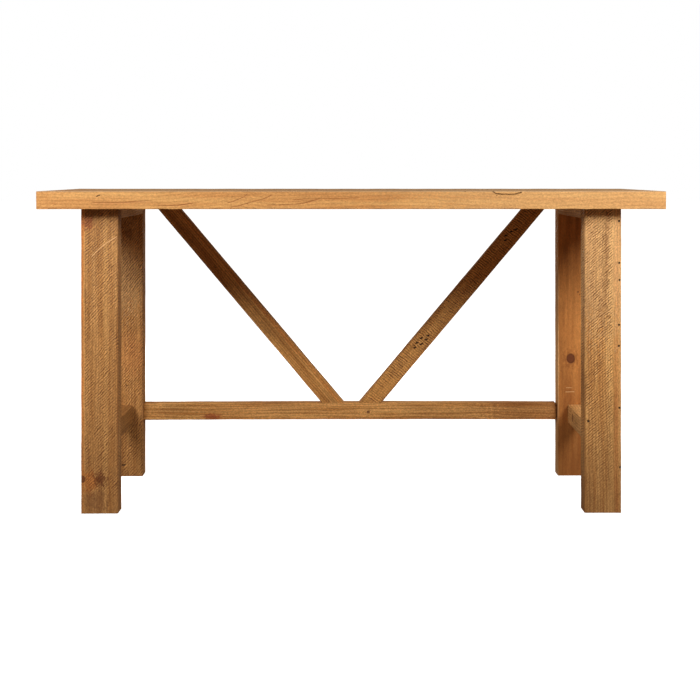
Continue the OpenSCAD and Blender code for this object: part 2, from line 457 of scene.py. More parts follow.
def cut_turned(nodes, name, start, direction, steps, sides=32):
    """A round hole from start along direction; steps are (distance, radius) in millimetres."""
    start, direction = Vector(start), Vector(direction).normalized()
    side = direction.orthogonal().normalized()
    other = direction.cross(side)
    points = []
    for distance, radius in steps:
        for number in range(sides):
            turn = math.tau * number / sides
            spoke = side * math.cos(turn) + other * math.sin(turn)
            points.append(start + direction * distance * MM + spoke * radius * MM)
    faces = [tuple(reversed(range(sides)))]
    for ring in range(len(steps) - 1):
        base = ring * sides
        faces += [(base + number, base + (number + 1) % sides,
                   base + (number + 1) % sides + sides, base + number + sides)
                  for number in range(sides)]
    faces.append(tuple(range(len(points) - sides, len(points))))
    cut(nodes, name, points, faces)


def cut_mortise(node, name, low, high):
    """A box-shaped hole between two corners, in metres."""
    points, faces = box_surface(*[np.array(pair) for pair in zip(low, high)])
    cut([node], name, points, faces.tolist())


def cut_bore(nodes, name, low, high, axis, radius, gap=0.0):
    """A plain round hole round a solid that lies along an axis, longer by gap at both ends."""
    start = (low + high) / 2
    start[axis] = low[axis] - gap * MM
    length = (high[axis] - low[axis]) / MM + 2 * gap
    cut_turned(nodes, name, start, (X, Y, Z)[axis], [(0, radius), (length, radius)])


# %% Lies of the rails, and their tongues
X, Y, Z = (1, 0, 0), (0, 1, 0), (0, 0, 1)
# Length of each tongue along the grain, half its width across it, and half its thickness
RAIL_TONGUE = (20, 17, 7)
BATTEN_TONGUE = (20, 27.5, 6)
STRETCHER_TONGUE = (32, 15.5, 7)
STRETCHER_BOW = 1.4
RAILS = {}
for side in ("left", "right"):
    rail, batten = "side_rail_" + side, "top_batten_" + side
    RAILS[rail] = dict(lie=Lie(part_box(rail), Y, Z, X), tongue=RAIL_TONGUE)
    RAILS[batten] = dict(lie=Lie(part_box(batten), Y, X, Z), tongue=BATTEN_TONGUE)
RAILS["stretcher"] = dict(lie=Lie(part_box("stretcher"), X, Z, Y, bow=STRETCHER_BOW),
                          tongue=STRETCHER_TONGUE)
print("pieces with tongues:", list(RAILS))

# %% Which timbers a hole meets
HARDWARE = ["top_dowels", "batten_bolts", "batten_washers", "top_inserts", "stretcher_bolts",
            "stretcher_barrel_nuts", "brace_head_screws", "brace_foot_screws"]
TIMBERS = [node for node in frame["nodes"] if node not in HARDWARE]
PLAY = 0.1
GLUE_GAP = 2.0


def timbers_at(low, high, kind=""):
    """Names of the timbers of a kind whose boxes reach into the box from low to high."""
    found = []
    for node in TIMBERS:
        node_low, node_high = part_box(node)
        inside = all(node_low[axis] < high[axis] and node_high[axis] > low[axis]
                     for axis in range(3))
        if inside and kind in node:
            found.append(node)
    return found


print("timbers:", len(TIMBERS), "hardware nodes:", len(HARDWARE))

# %% Mortises for the tongues
PAST_SHOULDER = 1
for node, rail in RAILS.items():
    length, tall, thick = rail["tongue"]
    for end in (-1, 1):
        inner, outer = (rail["lie"].half[0] + reach for reach in (-length - PAST_SHOULDER, GLUE_GAP))
        corners = np.array([[end * inner, -tall - PLAY, -thick - PLAY],
                            [end * outer, tall + PLAY, thick + PLAY]])
        corners = corners * MM @ rail["lie"].basis + np.array(rail["lie"].middle)
        low, high = corners.min(axis=0), corners.max(axis=0)
        for leg in timbers_at(low, high, "leg"):
            cut_mortise(leg, leg + "_mortise", low, high)
print("mortises:", sum(len(holes) for holes in HOLES.values()))

# %% Holes in the top and its battens
BATTEN_BOLT_RADIUS = 4
for low, high in solids("top_dowels"):
    radius = sorted(high - low)[1] / 2 / MM + PLAY
    cut_bore(timbers_at(low, high), "dowel_hole", low, high, 1, radius, GLUE_GAP)
for low, high in solids("top_inserts"):
    radius = (high[0] - low[0]) / 2 / MM + PLAY
    cut_bore(timbers_at(low, high), "insert_hole", low, high, 2, radius, GLUE_GAP)
for low, high in solids("batten_bolts"):
    cut_bore(timbers_at(low, high, "batten"), "bolt_hole", low, high, 2,
             BATTEN_BOLT_RADIUS + PLAY)
print("holes in top_board_middle:", len(HOLES["top_board_middle"]))

# %% [markdown]
# The stretcher is held by two long bolts. Each goes through a pocket in the outer face of a back
# leg, then along the tongue into a barrel nut, which is let in from the stretcher's back.

# %% Holes for the joint bolts and their nuts
JOINT_POCKET_RADIUS, JOINT_BOLT_RADIUS, JOINT_HEAD = 8, 3, 4
BEYOND = 2.0
leg_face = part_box("leg_back_right")[1][0]
for low, high in solids("stretcher_bolts"):
    middle = (low + high) / 2
    side = math.copysign(1, middle[0])
    head_end = max(abs(low[0]), abs(high[0]))
    pocket = (leg_face - head_end) / MM + JOINT_HEAD + BEYOND
    start = (side * (leg_face + BEYOND * MM), middle[1], middle[2])
    tip = pocket + (high[0] - low[0]) / MM
    cut_turned(timbers_at(low, high), "joint_bolt_hole", start, (-side, 0, 0),
               [(0, JOINT_POCKET_RADIUS), (pocket, JOINT_POCKET_RADIUS),
                (pocket, JOINT_BOLT_RADIUS + PLAY), (tip, JOINT_BOLT_RADIUS + PLAY)])
    print("joint bolt pocket in mm:", round(pocket - BEYOND, 1))

stretcher_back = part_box("stretcher")[1][1]
for low, high in solids("stretcher_barrel_nuts"):
    middle = (low + high) / 2
    start = (middle[0], stretcher_back + BEYOND * MM, middle[2])
    radius = (high[0] - low[0]) / 2 / MM + PLAY
    depth = (stretcher_back - low[1]) / MM + BEYOND + GLUE_GAP
    cut_turned(["stretcher"], "nut_hole", start, (0, -1, 0), [(0, radius), (depth, radius)])

# %% Holes for the brace screws
SCREW_POCKET_RADIUS, SCREW_RADIUS, SCREW_HEAD_HEIGHT = 5, 2.25, 3
POCKETS = {"brace_head_screws": 60, "brace_foot_screws": 17}
REACH_BELOW = 15
for node, pocket in POCKETS.items():
    for low, high in solids(node):
        middle = (low + high) / 2
        start = (middle[0], middle[1], low[2] - pocket * MM)
        tip = pocket + (high[2] - low[2]) / MM
        timbers = timbers_at((low[0], low[1], low[2] - REACH_BELOW * MM), high)
        cut_turned(timbers, "screw_hole", start, Z,
                   [(0, SCREW_POCKET_RADIUS), (pocket, SCREW_POCKET_RADIUS),
                    (pocket + SCREW_HEAD_HEIGHT, SCREW_RADIUS + PLAY),
                    (tip, SCREW_RADIUS + PLAY)])
print("holes per timber:", {node: len(holes) for node, holes in HOLES.items()})

# %% [markdown]
# ## From a lattice to a piece of timber
# `timber` brings it together: the lattice, its history, its tongues and its holes. Past each
# shoulder of a rail the section is squeezed to the tongue's size. The two layers that the shader
# needs are worked out last, from where each finished point lies in its own piece.


# %% A mesh from lattice points
def face_spots(marks, axis):
    """Lattice lines wanted round the marks: along the grain, or across one of the faces."""
    spots = []
    for mark in marks:
        if axis == 0 or mark["face"][0] != axis:
            spots += [(place[min(axis, 1)], 1.4 * mark["width"], mark["width"] / 5)
                      for place in mark["path"]]
    return spots


def mesh_object(name, points, quads, lie):
    """An object from lattice points in the piece's own millimetres."""
    if lie.mirrored():
        quads = quads[:, ::-1]
    merged, index = np.unique(np.round(points, 4), axis=0, return_inverse=True)
    corners = [list(dict.fromkeys(quad)) for quad in index.ravel()[quads].tolist()]
    mesh = bpy.data.meshes.new(name)
    mesh.from_pydata(lie.to_world(merged).tolist(), [],
                     [corner for corner in corners if len(corner) > 2])
    mesh.validate()
    piece = bpy.data.objects.new(name, mesh)
    bpy.context.scene.collection.objects.link(piece)
    return piece


# %% Opening the holes
def open_holes(piece, node):
    """Cuts the holes of a timber out of its mesh."""
    cutters = bpy.data.collections.new(node + "_holes")
    bpy.context.scene.collection.children.link(cutters)
    for mesh in HOLES.get(node, []):
        cutters.objects.link(bpy.data.objects.new(mesh.name, mesh))
    tool = piece.modifiers.new("holes", "BOOLEAN")
    tool.operand_type = "COLLECTION"
    tool.collection = cutters
    tool.solver = "MANIFOLD"
    bpy.context.view_layer.update()
    evaluated = piece.evaluated_get(bpy.context.evaluated_depsgraph_get())
    piece.data = bpy.data.meshes.new_from_object(evaluated)
    piece.data.materials.clear()
    piece.modifiers.clear()
    for cutter in list(cutters.objects):
        bpy.data.objects.remove(cutter)
    bpy.data.collections.remove(cutters)


# %% Squeezing tongues and writing layers
def squeeze(shaped, points, half, body, tongue):
    """Keeps the body inside its box, and gives what lies past it the tongue's section."""
    for axis in (1, 2):
        limit = np.where(body, half[axis], tongue[axis])
        shaped[:, axis] = np.clip(np.where(body, shaped[:, axis], points[:, axis]), -limit, limit)


def write_layer(mesh, name, values):
    layer = mesh.attributes.new(name, "FLOAT", "POINT")
    layer.data.foreach_set("value", values.astype(np.float32))


def finish_mesh(piece, lie, half, centre, marks):
    """Smooths a piece up to its creases, and writes the two layers that the shader reads."""
    mesh = piece.data
    mesh.polygons.foreach_set("use_smooth", [True] * len(mesh.polygons))
    mesh.set_sharp_from_angle(angle=CREASE)
    places = np.empty(len(mesh.vertices) * 3)
    mesh.vertices.foreach_get("co", places)
    own = lie.from_world(places.reshape(-1, 3)) - centre
    write_layer(mesh, "arris", arris_nearness(own, half, ARRIS_REACH))
    write_layer(mesh, "marks", darkness_of(own, half, marks))


# %% Building one piece
CREASE = math.radians(38)
ARRIS_REACH = 2.2
SHOULDER_STEP = 0.02
TIP_STEP = 1.0


def timber(node, lie, *, wear=1.3, crisp_sides=(), marks=(), tongue=(0, 0, 0), short_end=0.0,
           step=(5.0, 4.0, 4.0), hollow=0.35, seed=1):
    """One piece of timber that stands for a CAD node; short_end opens its far shoulder."""
    half = lie.half.copy()
    half[0] -= tongue[0] + short_end / 2
    centre = np.array([-short_end / 2, 0, 0])
    xs = lines(centre[0] - half[0], centre[0] + half[0], step[0], face_spots(marks, 0))
    ys = lines(-half[1], half[1], step[1], face_spots(marks, 1))
    zs = lines(-half[2], half[2], step[2], face_spots(marks, 2))
    if tongue[0]:
        tip = [lie.half[0] - TIP_STEP, lie.half[0]]
        xs = np.concatenate([[-tip[1], -tip[0], xs[0] - SHOULDER_STEP], xs,
                             [xs[-1] + SHOULDER_STEP], tip])
    points, quads = box_surface(xs, ys, zs)
    points = points - centre
    body = np.abs(points[:, 0]) <= half[0] + 1e-6

    shaped = points.copy()
    radius = worn_radius(points, wear, crisp_sides, seed)
    shaped[body] = round_arrises(points[body], half, radius[body])
    press(shaped, points, half, marks)
    hollow_faces(shaped, points, half, hollow, seed)
    squeeze(shaped, points, half, body, tongue)
    piece = mesh_object(node + "_wood", shaped + centre, quads, lie)
    if node in HOLES:
        open_holes(piece, node)
    finish_mesh(piece, lie, half, centre, marks)
    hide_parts(node)
    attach(piece, "root")
    print(node, "faces:", len(piece.data.polygons))
    return piece


# %% [markdown]
# ## The pine
# Pine is drawn as a solid: growth rings are cylinders round a pith that lies outside the board,
# so arches appear on a flat-sawn face, lines on an edge and arcs on an end without any change of
# method. A picture wrapped round the board would need a seam at every edge. Knots push the rings
# aside. Over that lie the marks of work: slanting lines from a band saw, darker in their grooves
# because stain gathers there, and the wear along the arrises. Each of these is one short function
# on a `Board`, which carries the colour and the height so far, and a piece's own story is in its
# arguments.


# %% Sizes of the noises, along the grain and across it, in millimetres
SWAY_SIZE = (625, 125)
TONE_SIZE = (285, 14)
CLOUD_SIZE = (140, 50)
WAVER_SIZE = (125, 20)
FIBRE_SIZE = (33, 0.77)
MOTTLE_SIZE = (9, 5)
SPECK_SIZE = (4.2, 2.8)
FIBRE_RISE, MOTTLE_RISE, YEAR_RISE = 0.05, 0.12, 0.05


# %% A board's coordinates
class Board:
    """A finish in the making: its node tree, its colour and height, and the place inside it."""

    def __init__(self, name, lie, seed):
        self.tree = Tree(name)
        self.lie = lie
        self.seed = seed
        place = self.tree.node("ShaderNodeTexCoord", output=3)
        from_middle = self.tree.node("ShaderNodeVectorMath", {"operation": "SUBTRACT"},
                                     [place, tuple(lie.middle)])
        self.along, self.across, self.through = (
            self.tree.node("ShaderNodeVectorMath", {"operation": "DOT_PRODUCT"},
                           [from_middle, tuple(axis / MM)], output=1)
            for axis in lie.axes)
        self.waver = self.noise(*WAVER_SIZE)
        self.fibre = self.noise(*FIBRE_SIZE, 3.0, 0.7)
        self.cloud = self.noise(*CLOUD_SIZE)
        self.mottle = self.noise(*MOTTLE_SIZE, 3.0, 0.65)
        self.colour = None
        self.height = self.fibre * FIBRE_RISE + self.mottle * MOTTLE_RISE

    def noise(self, length, width, detail=2.0, roughness=0.5):
        """Noise with features about length long and width wide, in millimetres."""
        place = self.tree.vector(self.along / length + self.seed, self.across / width,
                                 self.through / width)
        return self.tree.noise(place, detail, roughness)

    def paint(self, factor, colour):
        """Lays a colour over the colour so far."""
        self.colour = self.tree.mix(factor, self.colour, colour)

    def shade(self, value):
        """Makes the colour so far lighter above 1, and darker below it."""
        self.colour = self.tree.mix(1.0, self.colour, grey(self.tree, value), "MULTIPLY")


# %% Growth rings
SWAY, WAVER = 46, 7
KNOT_REACH, KNOT_PUSH = 3.4, 2.2


def ring_distance(board, pith, bends, knots, gaps):
    """Distance from the pith, bent by slow and quick changes in growth and round the knots."""
    out_across = board.across - pith[0]
    out_through = board.through - pith[1]
    distance = (out_across * out_across + out_through * out_through).math("SQRT")
    distance = distance + (board.noise(*SWAY_SIZE) - 0.5) * SWAY + (board.waver - 0.5) * WAVER
    for centre, reach, rise in bends:
        offset = (board.along - centre) / reach
        distance = distance + rise * (offset * offset * -1).math("EXPONENT")
    for knot, gap in zip(knots, gaps):
        near = gap.step(knot["radius"] * KNOT_REACH, 0.0)
        distance = distance + near * knot["radius"] * KNOT_PUSH
    return distance


def late_wood(board, distance, ring):
    """1 in the dark line that ends each year, stronger in some years than in others."""
    phase = distance / ring
    year = phase.fraction()
    line = year.step(0.4, 0.88) * year.step(1.0, 0.94)
    strength = board.tree.noise(board.tree.vector(phase * 0.31, board.along * 0.002, 0.0), 1.0)
    return line * (0.35 + 0.65 * strength)


# %% Sapwood, heartwood and years
def paint_growth(board, light, middle, dark, years, streak):
    """The wood's own tones: light and middle in long streaks, and dark clouds and years."""
    tone = board.noise(*TONE_SIZE, 3.0, 0.6)
    spread = 0.26 / (0.4 + streak)
    board.colour = board.tree.mix(tone.step(0.5 - spread, 0.5 + spread), light, middle)
    board.paint(board.cloud.step(0.45, 0.75) * 0.4 * streak, dark)
    board.paint(years, dark)


# %% Stripes and stains
STRIPE_WANDER = 9
KNOT_UNEVEN, STAIN_UNEVEN = 0.6, 2.6


def outline_gap(board, spot, waver, uneven):
    """Distance from the middle of a knot or a stain, with an uneven outline."""
    gap_along = (board.along - spot["along"]) * spot.get("squash", 0.8)
    gap_across = board.across - spot["across"]
    gap = (gap_along * gap_along + gap_across * gap_across).math("SQRT")
    return gap + (waver - 0.5) * spot["radius"] * uneven


def paint_stripe(board, centre, reach, amount, colour):
    """A streak along the grain, broken here and there."""
    wander = (board.across - centre + (board.waver - 0.5) * STRIPE_WANDER).size()
    broken = 0.45 + 0.55 * board.cloud.step(0.35, 0.6)
    board.paint(wander.step(reach * 1.35, reach * 0.65) * broken * amount, colour)


def paint_stain(board, stain):
    """A cloudy patch with a ragged outline."""
    gap = outline_gap(board, stain, board.mottle, STAIN_UNEVEN)
    spread = gap.step(stain["radius"] * 1.3, stain["radius"] * 0.5)
    board.paint(spread * stain["amount"], stain["paint"])


def shade_fibres(board, fibre_show, speckle):
    """The fine grain: fibres, mottling and pores."""
    speck = board.noise(*SPECK_SIZE, 1.0)
    board.shade(1 + (board.fibre - 0.5) * fibre_show + (board.mottle - 0.5) * 0.65
                + (speck - 0.5) * speckle)


# %% Knots
KNOT_HEART = srgb(92, 42, 26)
KNOT_BARK = srgb(62, 28, 14)
KNOT_YEAR, KNOT_SINK = 1.8, 0.25


def paint_knot(board, knot, gap):
    """A knot: a ringed heart, and the dark line of bark round it."""
    depth, radius = knot.get("depth", 1.0), knot["radius"]
    rings = 0.7 + 0.3 * ((gap / KNOT_YEAR).fraction() - 0.5).size() * 2
    core = gap.step(radius * 1.15, radius * 0.8) * rings * depth
    edge = ((gap - radius) / (radius * 0.28)).size().step(1.0, 0.1) * depth
    board.paint(core * 0.92, KNOT_HEART)
    board.paint(edge * 0.6, KNOT_BARK)
    board.height = board.height - edge * KNOT_SINK


# %% [markdown]
# A band saw leaves a fine hatch at a slant to the grain. It could be pressed into the mesh, but a
# groove every 5 mm would need hundreds of thousands of faces on each leg, so it is drawn in the
# shader, with a bump. The hatch is a row of numbered strokes. Their spacing drifts and jitters,
# and each has noise of its own, so that no two grooves are the same length or depth.


# %% Saw strokes
DRIFT_SIZE, JITTER_SIZE, JITTER = (160, 90), (16, 16), 1.2
SKEW_THROUGH = 0.05


def saw_strokes(board, angle, pitch, bend):
    """Stroke number at each place, whole in the middle of a groove, and the way along it."""
    turn = math.radians(angle)
    drift = board.noise(*DRIFT_SIZE, 1.0)
    jitter = board.noise(*JITTER_SIZE, 1.0)
    over = board.along * math.cos(turn) - board.across * math.sin(turn)
    run = board.along * math.sin(turn) + board.across * math.cos(turn)
    stroke = over / pitch + (drift - 0.5) * bend + (jitter - 0.5) * JITTER
    return stroke + board.through * SKEW_THROUGH, run


# %% Saw marks
PATCH_SIZE, PATCH_WANDER = (75, 26), 60
GROOVE_DEPTH = 0.6


def paint_saw(board, dark, angle, pitch, amount, length=9, bend=1.4, smooth=(), fades=()):
    """Grooves, ridges and scratches of a band saw; smooth strips and fades have less of them."""
    tree = board.tree
    stroke, run = saw_strokes(board, angle, pitch, bend)
    own = tree.noise(tree.vector(stroke * 0.85, run / length,
                                 board.through * SKEW_THROUGH + board.seed), 2.0, 0.65)
    patch = board.noise(*PATCH_SIZE, 2.0)
    strength = own.step(0.28, 0.6) * (0.35 + 0.65 * patch.step(0.32, 0.58)) * amount
    for centre, reach in smooth:
        strength = strength * (board.across - centre).size().step(reach * 0.8, reach * 1.15)
    for low, high in fades:
        strength = strength * (board.along + (patch - 0.5) * PATCH_WANDER).step(low, high)
    wave = (stroke.fraction() - 0.5).size() * 2
    scratch = tree.noise(tree.vector(stroke * 2.7, run * 0.03, board.through * 0.1), 2.0, 0.7)
    groove = wave.step(0.5, 0.95) * strength
    ridge = wave.step(0.5, 0.08) * strength
    board.paint(groove * 0.95, dark)
    board.paint(scratch.step(0.48, 0.32) * strength * 0.6, dark)
    board.shade(1 + ridge * 0.3 + scratch.step(0.52, 0.68) * strength * 0.3)
    board.height = board.height - groove * GROOVE_DEPTH


# %% Scuffs
SCUFF_PAINT = srgb(226, 174, 116)
SCUFF_SHOW, SCUFF_DEPTH = 0.7, 0.3


def scuff_line(board, scuff):
    """1 on a shallow curved line on a face, or on an edge; turn is its angle to the grain."""
    angle, length, width = math.radians(scuff["turn"]), scuff["length"], scuff["width"]
    over = board.through if scuff.get("on_edge") else board.across
    from_along, from_across = board.along - scuff["along"], over - scuff["across"]
    run = from_along * math.cos(angle) + from_across * math.sin(angle)
    beside = from_across * math.cos(angle) - from_along * math.sin(angle)
    share = run * (2 / length)
    beside = beside + (board.waver - 0.5) * scuff.get("wander", 0.0)
    gap = (beside + scuff["sag"] * (1 - share * share)).size()
    return gap.step(width, width * 0.3) * share.size().step(1.0, 0.85)


def paint_scuff(board, scuff):
    line = scuff_line(board, scuff)
    board.paint(line * SCUFF_SHOW, scuff.get("paint", SCUFF_PAINT))
    board.height = board.height - line * SCUFF_DEPTH


# %% Wear, and painted shade on the upper face and towards the feet
WORN_PAINT = srgb(214, 158, 98)
FACE_DEPTH = (2.6, 1.0)
FOOT_WANDER = 120


def paint_arrises(board, dark):
    """Arrises rubbed pale in some places and dirty in others; gives back where they shine."""
    arris = board.tree.attribute("arris")
    wear = arris * board.cloud.step(0.3, 0.7)
    board.paint(wear * 0.25, WORN_PAINT)
    board.paint(arris * board.cloud.step(0.55, 0.3) * 0.4, dark)
    return wear


def paint_top_face_shade(board, amount, colour):
    """Painted shade and painted reflection: a greyer, darker tone on the upper face alone."""
    deep, shallow = (board.lie.half[2] - depth for depth in FACE_DEPTH)
    board.paint(board.through.step(deep, shallow) * amount, colour)


def paint_foot_shade(board, amount, dark):
    """Painted shade: darker towards the low end, for the light that falls off towards the floor."""
    low = (board.along + (board.cloud - 0.5) * FOOT_WANDER).step(0, -board.lie.half[0])
    board.paint(low * amount, dark)


# %% Pine
IRON_STAIN = srgb(38, 18, 7)
WAX = dict(IOR=1.46, Specular_IOR_Level=0.3)
WAX_ROUGHNESS = 0.5


def pine(name, lie, *, light, middle, dark, pith=(-20.0, -90.0), ring=5.0, ring_show=0.5,
         streak=0.5, fibre_show=0.34, speckle=1.2, bends=(), stripes=(), stains=(), saw=None,
         knots=(), scuffs=(), top_face=None, foot=None, seed=0.0):
    """Waxed pine for a piece that lies as lie says; lengths are in millimetres."""
    board = Board(name, lie, seed)
    gaps = [outline_gap(board, knot, board.waver, KNOT_UNEVEN) for knot in knots]
    late = late_wood(board, ring_distance(board, pith, bends, knots, gaps), ring)
    board.height = board.height + late * YEAR_RISE
    paint_growth(board, light, middle, dark, late * ring_show, streak)
    for stripe in stripes:
        paint_stripe(board, *stripe)
    for stain in stains:
        paint_stain(board, stain)
    shade_fibres(board, fibre_show, speckle)
    if saw:
        paint_saw(board, dark, **saw)
    for knot, gap in zip(knots, gaps):
        paint_knot(board, knot, gap)
    wear = paint_arrises(board, dark)
    # Painted shade and painted reflection on the upper face
    if top_face:
        paint_top_face_shade(board, *top_face)
    # Painted shade, darker towards the feet
    if foot:
        paint_foot_shade(board, foot, dark)
    for scuff in scuffs:
        paint_scuff(board, scuff)
    board.paint(board.tree.attribute("marks") * 0.95, IRON_STAIN)
    rough = WAX_ROUGHNESS + (board.fibre - 0.5) * 0.2 + late * 0.06 - wear * 0.06
    return board.tree.surface(board.colour, rough, board.height * MM, **WAX)


def blotch(along, across, radius, squash, amount, paint):
    """A stain for pine(); a squash under 1 makes it longer along the grain."""
    return dict(along=along, across=across, radius=radius, squash=squash, amount=amount,
                paint=paint)


# %% [markdown]
# ## The top
# Three long boards glued edge to edge. The front board's edge is what is seen first: smooth and
# honey coloured, with long grain lines that dip under a swirl to the left of the middle, a small
# nick, and a splinter line that has opened along the upper arris on the right. The upper face is
# painted greyer and darker than the edge: painted shade and painted reflection, for the weaker
# light that falls on it and the grey sheen it shows.

# %% Colours shared by the pieces
HONEY = srgb(216, 164, 98)
AMBER = srgb(198, 140, 80)
ORANGE = srgb(204, 124, 58)
ROSE = srgb(196, 126, 70)
UMBER = srgb(108, 62, 24)
# Painted shade and painted reflection: the greyer, darker tone of the top's upper face
TOP_SHADE_AND_SHEEN = srgb(158, 132, 102)
GRAIN_BROWN = srgb(146, 86, 40)
FRONT_OF_EDGE = (1, -1)
FRONT_OF_FACE = (2, -1)

# %% Marks and grain lines of the front edge
TOP_MARKS = [
    new_mark(FRONT_OF_EDGE, [(-606, 9), (-602, 12), (-599, 12)], 1.6, 0.8),
    new_mark(FRONT_OF_EDGE, [(336, 21), (343, 16), (356, 14), (388, 14), (404, 18)], 2.4, 2.0, 0.5),
    new_mark(FRONT_OF_EDGE, [(352, 15), (345, 11)], 1.4, 0.6, 0.6),
    new_mark(FRONT_OF_EDGE, [(266, 21), (271, 20)], 3.0, 1.2, 0.2),
    new_mark(FRONT_OF_EDGE, [(43, 21), (45, 21)], 2.4, 1.0, 0.0),
]
TOP_GRAIN = [dict(along=along, across=across, turn=turn, length=length, sag=sag, width=1.5,
                  wander=12.0, on_edge=True, paint=GRAIN_BROWN)
             for along, across, turn, length, sag in ((-545, -3, 1, 150, 1.5), (-240, 0, 17, 112, 5),
                                                      (-272, 5, 26, 56, 4), (-420, -9, 5, 90, 2),
                                                      (-60, 4, 2, 170, 2), (-140, -6, 6, 130, 3))]
TOP_SWIRL = [(-300, 95, -16), (-170, 120, 10), (420, 160, 5)]
FRONT_BOARD_ONLY = dict(bends=TOP_SWIRL, scuffs=TOP_GRAIN)
print("marks and grain lines on the edge:", len(TOP_MARKS), len(TOP_GRAIN))

# %% Top boards
GLUE_CRISP = 0.5
TOP_STAINS = [blotch(560, 0, 420, 1.0, 0.25, srgb(216, 176, 120)),
              blotch(-720, 0, 60, 0.6, 0.5, ORANGE),
              blotch(-640, -190, 40, 0.6, 0.4, ORANGE)]
GLUE_SIDES = {"top_board_front": [1], "top_board_middle": [-1, 1], "top_board_back": [-1]}
for number, (node, sides) in enumerate(GLUE_SIDES.items()):
    front = number == 0
    lie = Lie(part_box(node), X, Y, Z)
    plank = timber(node, lie, wear=1.5, crisp_sides=[(1, side, GLUE_CRISP) for side in sides],
                   marks=TOP_MARKS if front else (), step=(9.0, 5.0, 4.0), hollow=0.3,
                   seed=11 + number)
    plank.data.materials.append(
        pine(node + "_pine", lie, light=HONEY, middle=AMBER, dark=srgb(146, 90, 44),
             pith=(-60.0 + 55 * number, -150.0), ring=8.5, ring_show=0.4, speckle=0.7,
             streak=0.8, fibre_show=0.55, top_face=(0.62, TOP_SHADE_AND_SHEEN), stains=TOP_STAINS,
             seed=2.0 + 5 * number, **(FRONT_BOARD_ONLY if front else {})))

# %% [markdown]
# ## The legs
# Each leg is a wide board set edge-on to the ends. The saw marks slant across their faces; one
# side keeps a smooth strip, and the right front leg still shows the nail holes of its first use.

# %% Front legs
FRONT_RIGHT_NAILS = [337, 236, 195, 87, 36, -113, -256]
LEGS = {
    "leg_front_left": dict(
        marks=(),
        finish=dict(light=srgb(204, 152, 92), middle=srgb(170, 118, 64), dark=srgb(88, 48, 20),
                    pith=(-140.0, -60.0), ring=6.0, ring_show=0.35, foot=0.25, seed=3.0,
                    saw=dict(angle=46, pitch=5.4, amount=0.85, length=7, bend=2.6,
                             smooth=[(-42, 7)], fades=[(-350, -290)]),
                    # The umber stripe at the inner edge, at 45, is painted shade on the inner side
                    stripes=[(-41, 5, 0.75, ORANGE), (-36, 1.6, 0.7, HONEY),
                             (14, 5, 0.4, HONEY), (45, 3.5, 0.5, UMBER)],
                    scuffs=[dict(along=276, across=12, turn=52, length=82, sag=4.3, width=2.0)],
                    stains=[blotch(334, -30, 15, 0.8, 0.6, srgb(150, 74, 44)),
                            blotch(-290, -24, 20, 0.7, 0.6, ORANGE),
                            blotch(-283, 2, 17, 1.0, 0.75, srgb(98, 48, 24)),
                            blotch(-336, -8, 30, 1.0, 0.5, srgb(126, 84, 52))],
                    knots=[dict(along=-283, across=-41, radius=6)])),
    "leg_front_right": dict(
        marks=[new_mark(FRONT_OF_FACE, [(z, 40 + 1.5 * math.sin(z))], 3.6, 2.2)
               for z in FRONT_RIGHT_NAILS]
        + [new_mark(FRONT_OF_FACE, [(-145, -35)], 4.0, 2.5)],
        finish=dict(light=srgb(222, 170, 104), middle=srgb(186, 130, 72), dark=srgb(96, 54, 22),
                    pith=(160.0, -50.0), ring=6.5, ring_show=0.5, foot=0.45, seed=9.0,
                    fibre_show=0.6, streak=0.8,
                    saw=dict(angle=40, pitch=5.3, amount=1.0, length=12, bend=0.8,
                             smooth=[(36, 13)], fades=[(-480, -40)]),
                    # The umber stripe at the inner edge, at -45, is painted shade on the inner side
                    stripes=[(35, 7, 0.4, ROSE), (40, 3, 0.5, HONEY), (22, 3, 0.6, HONEY),
                             (4, 2, 0.5, HONEY), (-14, 2, 0.4, HONEY), (-45, 3.5, 0.6, UMBER)],
                    # The wide pale patch on the upper part is painted light, for the stronger light
                    # at the top of the leg
                    stains=[blotch(250, -8, 120, 0.6, 0.28, srgb(240, 198, 142)),
                            blotch(215, 6, 8, 0.06, 0.4, UMBER)])),
}

# %% Back legs
LEGS["leg_back_left"] = dict(
    marks=[new_mark(FRONT_OF_FACE, [(-336, -10), (-335, -4)], 2.6, 1.5),
           new_mark(FRONT_OF_FACE, [(-120, 0)], 2.2, 1.5)],
    finish=dict(light=srgb(212, 156, 92), middle=srgb(176, 122, 66), dark=srgb(90, 50, 20),
                pith=(60.0, -70.0), ring=6.0, ring_show=0.4, streak=0.8, foot=0.3, seed=14.0,
                saw=dict(angle=50, pitch=5.8, amount=1.0, bend=2.2),
                stains=[blotch(190, -4, 70, 0.6, 0.5, srgb(232, 184, 124)),
                        blotch(-40, 14, 46, 0.8, 0.35, ROSE)],
                knots=[dict(along=290, across=7, radius=9, depth=0.45)]))
LEGS["leg_back_right"] = dict(
    marks=[new_mark(FRONT_OF_FACE, [(131, 10)], 2.8, 1.0, 0.8),
           new_mark(FRONT_OF_FACE, [(124, 14)], 2.0, 1.0, 0.8)],
    finish=dict(light=srgb(206, 138, 72), middle=srgb(178, 112, 54), dark=srgb(106, 58, 24),
                pith=(20.0, -110.0), ring=8.0, ring_show=0.16, streak=0.9, foot=0.55,
                # The pale stripe at the inner edge is painted light on the shaded inner side, in the
                # tone of sapwood
                speckle=0.4, seed=21.0, stripes=[(-45, 3, 0.8, srgb(230, 182, 122))],
                scuffs=[dict(along=-139, across=-12, turn=88, length=26, sag=0, width=1.7),
                        dict(along=-128, across=-14, turn=92, length=18, sag=0, width=1.2)],
                stains=[blotch(-49, -10, 20, 0.8, 0.4, srgb(140, 78, 36))],
                knots=[dict(along=-49, across=-10, radius=10, squash=0.9)]))

